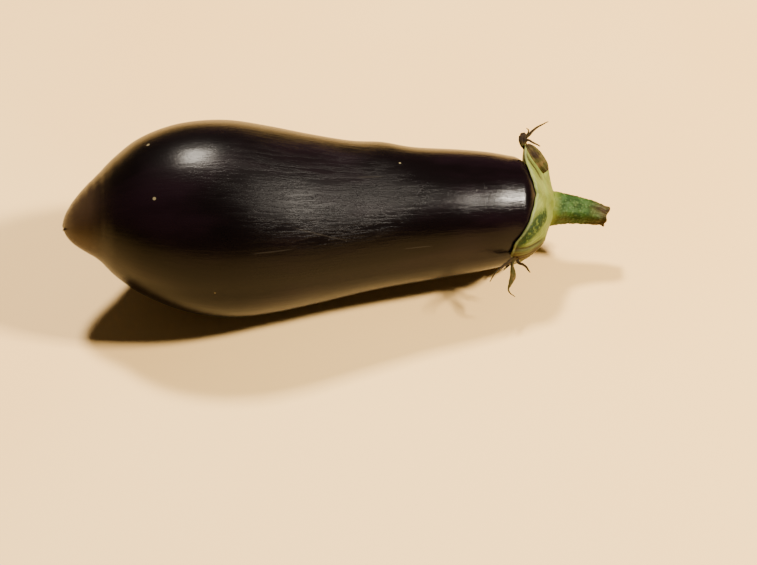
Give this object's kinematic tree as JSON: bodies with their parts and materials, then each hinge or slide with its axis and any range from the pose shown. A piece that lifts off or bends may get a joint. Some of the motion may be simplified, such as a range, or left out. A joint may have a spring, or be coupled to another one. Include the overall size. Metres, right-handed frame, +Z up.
{
  "type": "eggplant",
  "caption": "Glossy near-black eggplant lying on its side, pear-shaped with a pointed blossom end, a green lobed calyx with withered tips and a short warty stalk.",
  "frame": {"origin": "centre of the small flat spot under the belly, on the surface that the eggplant lies on", "axes": "+X along the fruit towards the stalk, +Z up, -Y towards the side that the picture shows"},
  "size_m": [0.2355, 0.0827, 0.0839],
  "materials": {
    "fruit_skin": "gloss",
    "calyx": "satin",
    "stalk": "matte"
  },
  "bodies": {
    "root": {"fruit": "fruit_skin", "calyx": "calyx", "stem": "stalk"}
  },
  "joints": []
}
